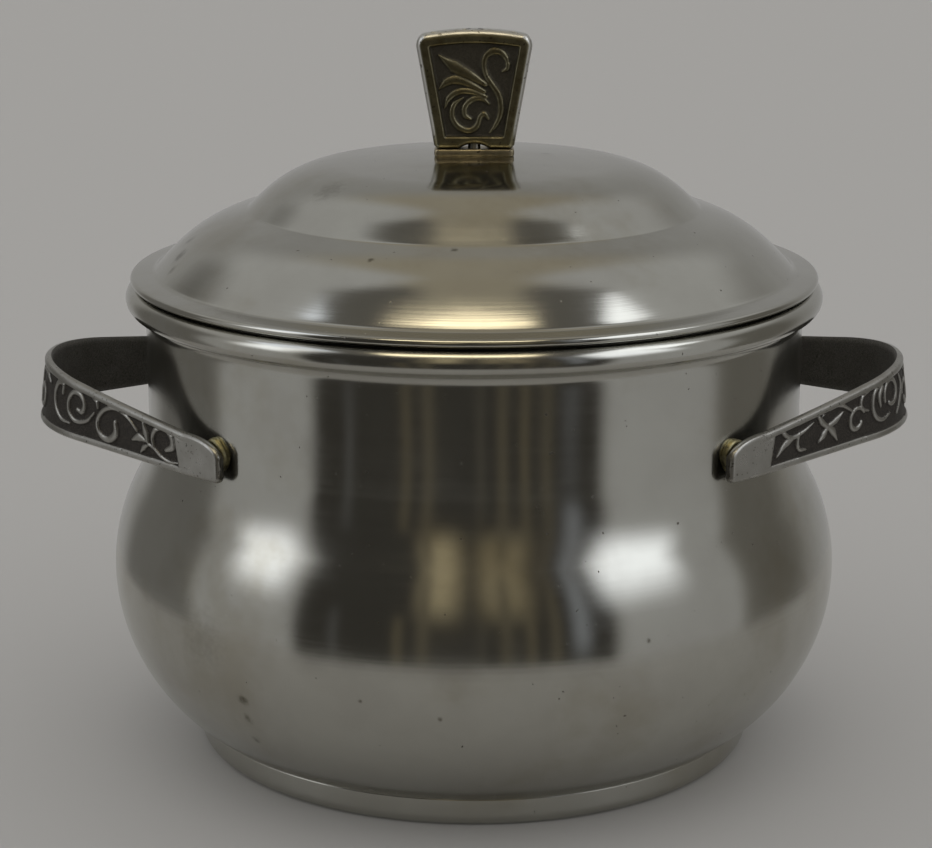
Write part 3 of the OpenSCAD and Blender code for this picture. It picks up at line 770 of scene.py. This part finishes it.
# The swan's strokes: a line of (place across, height above the foot), and the widths along it.
swan = [
    (smooth_line([(5.1, 13.0), (4.9, 14.0), (4.1, 14.9), (2.9, 15.1), (1.8, 14.3), (1.5, 12.9), (1.9, 11.3),
                  (2.8, 9.9), (3.7, 8.5), (4.1, 7.0), (4.0, 5.4), (3.3, 3.8), (2.4, 2.6)]),
     [0.44, 1, 1.2, 1.4, 1.1, 1, 1, 1.1, 1.2, 1.2, 1.1, 0.88, 0.38]),
    (smooth_line([(5.15, 13.1), (5.0, 12.4), (4.3, 12.0)]), [1.0, 0.8, 0.3]),
    (smooth_line([(1.7, 10.0), (-0.6, 11.4), (-3.0, 12.7), (-5.5, 14.5)]), [0.88, 1.6, 2.1, 0.25]),
    (smooth_line([(1.6, 8.9), (-0.8, 10.1), (-2.8, 10.7), (-4.3, 10.3), (-5.4, 9.3)]),
     [0.75, 1.2, 1.6, 1.4, 0.25]),
    (smooth_line([(1.9, 8.1), (-0.4, 8.9), (-2.4, 8.9), (-3.9, 7.9), (-4.5, 6.4)]),
     [0.62, 1.1, 1.2, 1.1, 0.25]),
    (smooth_line([(-1.7, 8.0), (-3.1, 6.9), (-3.4, 5.2), (-2.5, 3.6), (-0.9, 2.9), (0.4, 3.6), (0.9, 5.0),
                  (1.6, 5.5), (2.2, 4.7)]), [0.25, 1, 1.1, 1.1, 1.1, 1.1, 1, 0.88, 0.5]),
    (smooth_line([(2.3, 7.0), (1.1, 7.9), (-0.3, 7.7), (-1.4, 6.6), (-1.4, 5.3), (-0.5, 4.7)]),
     [0.38, 1, 1.1, 1.1, 1, 0.5]),
]

arch_r = (ARCH_W ** 2 / 4 + ARCH_H ** 2) / (2 * ARCH_H)


def arch(x):
    """Height of the arch in the foot: a circle whose lowest part lies below the foot."""
    return np.clip(np.sqrt(arch_r ** 2 - np.clip(x, -arch_r, arch_r) ** 2) + ARCH_H - arch_r, 0, None)


low_rows = np.concatenate([np.linspace(0, ARCH_FADE, 20), np.linspace(ARCH_FADE, corner_z, 100)[1:]])
top_angle = np.linspace(0, np.pi / 2, 26)[1:]
knob_rows = np.concatenate([low_rows, corner_z + (KNOB_H - corner_z) * np.sin(top_angle)])
knob_half = np.interp(knob_rows, side_z, side_x)
knob_half[-1] = 0.0
face_spread = np.linspace(-1, 1, 101)
face_spread = 0.5 * face_spread + 0.5 * np.sin(face_spread * np.pi / 2)
face_x = knob_half[:, None] * face_spread
face_z = knob_rows[:, None] + arch(face_x) * np.clip(1 - knob_rows[:, None] / ARCH_FADE, 0, 1)
foot_x = np.linspace(0, side_x[0], 60)
rim_x = np.concatenate([foot_x, side_x])
rim_z = np.concatenate([arch(foot_x), side_z])
rim_run = np.concatenate([[0], np.cumsum(np.hypot(np.diff(rim_x), np.diff(rim_z)))])
rim_places = np.linspace(0, rim_run[-1], 700)
rim_x = np.interp(rim_places, rim_run, rim_x)
rim_z = np.interp(rim_places, rim_run, rim_z)
inwards = np.stack([np.hypot(np.abs(face_x) - px, face_z - pz) for px, pz in zip(rim_x, rim_z)]).min(0)
from_side = np.interp(face_z, side_z[1:], side_x[1:]) - np.abs(face_x)
past_frame = np.where(face_z < 5, np.minimum(from_side * np.cos(lean), face_z), inwards)
drop = edge_drop(inwards, KNOB_EDGE)
in_frame = eased(past_frame - KNOB_FRAME, -0.25, 0.25)
bird = raised(face_x, face_z, swan)
knob_relief = np.where(in_frame > 0.5, np.maximum(bird * BIRD_RISE, 1 - in_frame), 1 - in_frame)
face_depth = drop + KNOB_PANEL * (1 - knob_relief)
rubbed_edge = eased(KNOB_EDGE * 0.75 - inwards, 0, 0.6) * eased(face_z, 0.5, 4)
knob_relief = knob_relief + EDGE_WEAR * rubbed_edge
face_y = KNOB_T / 2 - face_depth
ring_x = np.hstack([face_x, -face_x])
ring_y = np.hstack([-face_y, face_y])
ring_z = np.hstack([face_z, face_z])
knob_grid = np.stack([ring_x, ring_y, KNOB_Z + ring_z], -1)
knob_grid = np.concatenate([knob_grid[:1] * [1, 0, 1], knob_grid])
knob_worn = np.hstack([knob_relief, knob_relief])
knob_worn = np.vstack([0 * knob_worn[:1], knob_worn])
knob, kept = surface("cast_knob", knob_grid)
knob.data.attributes.new("relief", "FLOAT", "POINT").data.foreach_set(
    "value", knob_worn.reshape(-1)[kept].astype(np.float32))
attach(knob, "lid")
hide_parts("knob")


def patina(name):
    """Cast nickel brass under an olive-brown patina: dark in the hollows, rubbed paler on the high places."""
    material = bpy.data.materials.new(name)
    material.use_nodes = True
    tree = material.node_tree
    shader = tree.nodes["Principled BSDF"]
    worn = use_group(tree, age, Smudge_size=330.0, Speck_size=1900.0, Speck_edge=0.66)
    place = node(tree, "ShaderNodeTexCoord").outputs["Object"]
    height = node(tree, "ShaderNodeAttribute", attribute_name="relief").outputs["Fac"]
    stipple = noise(tree, place, 3600.0, 3.0, 0.6)
    rubbed = calc(tree, "MULTIPLY_ADD", stipple, 0.30, calc(tree, "SUBTRACT", height, 0.15))
    bright = step_up(tree, rubbed, 0.15, 0.95)
    hollow = blend(tree, stipple, (0.030, 0.026, 0.018, 1), (0.085, 0.074, 0.052, 1))
    olive = blend(tree, worn["Smudge"], (0.27, 0.245, 0.155, 1), (0.15, 0.13, 0.075, 1))
    olive = blend(tree, step_up(tree, height, 1.05, 1.6), olive, (0.56, 0.55, 0.51, 1))
    olive = blend(tree, calc(tree, "MULTIPLY", worn["Speck"], 0.7), olive, PIT)
    tree.links.new(blend(tree, bright, hollow, olive), shader.inputs["Base Color"])
    rough = step_up(tree, bright, 0.0, 1.0, 0.55, 0.30)
    tree.links.new(calc(tree, "MULTIPLY_ADD", worn["Smudge"], 0.08, rough), shader.inputs["Roughness"])
    tree.links.new(step_up(tree, bright, 0.0, 0.5, 0.6, 1.0), shader.inputs["Metallic"])
    bump = node(tree, "ShaderNodeBump", {"Strength": 0.35, "Distance": 0.00010, "Height": stipple})
    tree.links.new(bump.outputs[0], shader.inputs["Normal"])
    return material


knob.data.materials.append(patina("knob patina"))

# ---- The knob's base plate ----------------------------------------------------------------------
# A thin plate with rounded corners between the knob and the lid, of the same metal, bent to the crown.

PLATE_X = 6.2
PLATE_Y = 2.2
PLATE_CORNER_POWER = 0.22
t = np.linspace(0, 2 * np.pi, 160, endpoint=False)[None, :]
round_x = np.sign(np.cos(t)) * np.abs(np.cos(t)) ** PLATE_CORNER_POWER
round_y = np.sign(np.sin(t)) * np.abs(np.sin(t)) ** PLATE_CORNER_POWER
inset = np.array([2.2, 0.6, 0.16, 0.05, 0.0, 0.0, 0.05, 0.16, 0.6, 2.2])[:, None]
top = np.array([1.0, 1.0, 1.0, 0.85, 0.6, 0.4, 0.15, 0.0, 0.0, 0.0])[:, None]
plate_x = (PLATE_X - inset) * round_x
plate_y = (PLATE_Y - inset) * round_y
on_crown = lid_top - (plate_x ** 2 + plate_y ** 2) / (2 * crown_r)
plate_z = on_crown + top * (KNOB_Z - on_crown)
plate = surface("knob_plate", np.stack([plate_x, plate_y, plate_z], -1))[0]
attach(plate, "lid")
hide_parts("knob_base")
plate.data.materials.append(plain_metal("plate metal", (0.42, 0.36, 0.24, 1), (0.20, 0.17, 0.11, 1), 0.32))

# ---- The knob's screw and washer ----------------------------------------------------------------
# A slotted cheese-head screw goes up through a washer and the lid into the knob. Both are turned steel
# and are the finished nodes of the frame, which only need their metal.

screw_metal = satin("screw steel", 0.30, 5200.0)
washer_metal = satin("washer steel", 0.27, 5200.0)
for cad_node, metal in (("knob_screw", screw_metal), ("knob_washer", washer_metal)):
    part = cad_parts[cad_node]
    part.data.materials.clear()
    part.data.materials.append(metal)

# ---- The studio ---------------------------------------------------------------------------------
# A plain pale table top under even light. What the polished metal mirrors is a quiet room: tall windows
# left and right of the viewer, dark between them, a warm lamp overhead, and pale walls behind.

TABLE_REACH = 0.155
TABLE_STEPS = 96


def table_top(name, inner, outer):
    """A flat ring at height 0, from one radius to another."""
    t = np.linspace(0, 2 * np.pi, TABLE_STEPS, endpoint=False)[None, :]
    r = np.array([inner, outer])[:, None]
    points = np.stack([r * np.cos(t), r * np.sin(t), 0 * r * t], -1).reshape(-1, 3)
    number = np.arange(2 * TABLE_STEPS).reshape(2, TABLE_STEPS)
    following = np.roll(number, -1, 1)
    faces = np.stack([number[0], number[1], following[1], following[0]], -1)
    mesh = bpy.data.meshes.new(name)
    mesh.from_pydata(points.tolist(), [], faces.tolist())
    top = bpy.data.objects.new(name, mesh)
    bpy.context.scene.collection.objects.link(top)
    return top


table_paint = bpy.data.materials.new("pale table")
table_paint.use_nodes = True
table_shader = table_paint.node_tree.nodes["Principled BSDF"]
table_shader.inputs["Base Color"].default_value = (0.50, 0.49, 0.475, 1)
table_shader.inputs["Roughness"].default_value = 0.6
table_shader.inputs["Specular IOR Level"].default_value = 0.3
near_top = table_top("table_near", 0.0005, TABLE_REACH)
far_top = table_top("table_far", TABLE_REACH, 60.0)
far_top.visible_glossy = False
near_top.data.materials.append(table_paint)
far_top.data.materials.append(table_paint)

world = bpy.data.worlds.new("studio")
bpy.context.scene.world = world
world.use_nodes = True
sky = world.node_tree
sky.nodes.clear()
toward = node(sky, "ShaderNodeSeparateXYZ", {0: node(sky, "ShaderNodeTexCoord").outputs["Generated"]}).outputs
round_turn = calc(sky, "ARCTAN2", toward[0], calc(sky, "MULTIPLY", toward[1], -1.0))
round_over = calc(sky, "ARCTAN2", toward[2], calc(sky, "MULTIPLY", toward[1], -1.0))
turn = calc(sky, "MULTIPLY", round_turn, 180 / np.pi)
rise = calc(sky, "MULTIPLY", calc(sky, "ARCSINE", toward[2]), 180 / np.pi)
over = calc(sky, "MULTIPLY", round_over, 180 / np.pi)
aside = calc(sky, "MULTIPLY", calc(sky, "ARCSINE", toward[0]), 180 / np.pi)
turn_size = calc(sky, "ABSOLUTE", turn)


def panel(below, across, upright, left, right, low, high, colour, edge, edge_up=None):
    """One soft-edged card in the room: it covers what is below where both angles are within its limits."""
    edge_up = edge if edge_up is None else edge_up
    cover = calc(sky, "MULTIPLY", step_up(sky, across, left - edge, left + edge),
                 step_up(sky, across, right - edge, right + edge, 1.0, 0.0))
    cover = calc(sky, "MULTIPLY", cover, step_up(sky, upright, low - edge_up, low + edge_up))
    cover = calc(sky, "MULTIPLY", cover, step_up(sky, upright, high - edge_up, high + edge_up, 1.0, 0.0))
    return blend(sky, cover, below, colour)


def light(level, warm=0.0):
    """A grey of that brightness; warm takes blue away and adds a little red."""
    return (level * (1 + 0.5 * warm), level, level * (1 - warm), 1)


room = blend(sky, step_up(sky, turn_size, 120, 150), light(0.26, 0.05), light(0.34, 0.02))
room = panel(room, turn, rise, -400, 400, 48, 200, light(0.35, 0.20), 10)
room = panel(room, turn_size, rise, 62, 150, 30, 74, light(0.50, 0.0), 10, 8)
room = panel(room, turn, rise, -142, -98, -60, 30, light(0.17, 0.05), 8)
room = panel(room, turn, rise, 92, 124, -60, 30, light(0.15, 0.10), 8)
room = panel(room, turn, rise, -57, 44, -60, 62, light(0.038, 0.14), 4)
room = panel(room, turn, rise, 23, 26, -60, 60, light(0.10, 0.30), 2)
room = panel(room, turn, rise, 2, 18, 14, 50, light(0.25, 0.36), 5, 12)
room = panel(room, turn, rise, 8, 11, -60, 36, light(0.10, 0.30), 2)
room = panel(room, turn, rise, -17, -5, 14, 56, light(0.38, 0.36), 5, 12)
room = panel(room, turn, rise, -17, -14, -60, 36, light(0.11, 0.30), 2)
room = panel(room, turn, rise, -44, -42, -60, 10, light(0.11, 0.0), 2)
room = panel(room, turn, rise, -24, -22, -60, 10, light(0.13, 0.35), 2)
room = panel(room, turn, rise, 1, 3, -60, 10, light(0.08, 0.20), 2)
room = panel(room, turn, rise, 16, 18, -60, 14, light(0.13, 0.35), 2)
room = panel(room, turn, rise, 45, 90, -60, 60, light(0.42, 0.0), 4, 9)
room = panel(room, turn, rise, 41, 70, 18, 60, light(1.85, -0.07), 6, 12)
room = panel(room, turn, rise, 30, 35, -10, 50, light(0.28, -0.10), 3, 10)
room = panel(room, turn, rise, -97, -57, -60, 60, light(0.42, 0.0), 4, 9)
room = panel(room, turn, rise, -84, -63, 14, 48, light(1.85, -0.06), 6, 9)
room = panel(room, aside, over, -31, 27, 55, 98, light(0.13, 0.10), 2, 5)
room = panel(room, aside, over, -11, 10, 55, 104, light(0.34, 0.22), 4, 4)
room = panel(room, aside, over, -19, 14, 55, 84, light(0.36, 0.22), 2, 1.5)
room = panel(room, aside, over, -20, 13, 66, 80, light(3.2, 0.30), 2, 1)
room = panel(room, aside, over, 27, 50, 72, 96, light(2.1, -0.06), 2, 3)
room = panel(room, aside, over, -50, -31, 72, 96, light(1.4, -0.12), 2, 3)
rays = node(sky, "ShaderNodeLightPath").outputs
plain = blend(sky, rays["Is Camera Ray"], light(0.70, 0.01), light(0.36, 0.02))
seen = blend(sky, rays["Is Glossy Ray"], plain, room)
background = node(sky, "ShaderNodeBackground", {"Color": seen, "Strength": 1.0})
sky.links.new(background.outputs[0], node(sky, "ShaderNodeOutputWorld").inputs["Surface"])

# The viewer stands a little above the handles and looks slightly down on the bowl.
CAMERA_DROP = 14.53
camera_data = bpy.data.cameras.new("viewer")
camera = bpy.data.objects.new("viewer", camera_data)
bpy.context.scene.collection.objects.link(camera)
camera.location = (-0.00127, -0.38013, 0.14844)
camera.rotation_euler = (np.radians(90 - CAMERA_DROP), 0, 0)
camera_data.sensor_fit = "HORIZONTAL"
camera_data.sensor_width = 36.0
camera_data.lens = 95.02
camera_data.clip_start = 0.01
camera_data.clip_end = 200.0
bpy.context.scene.camera = camera
bpy.context.scene.view_settings.view_transform = "Standard"
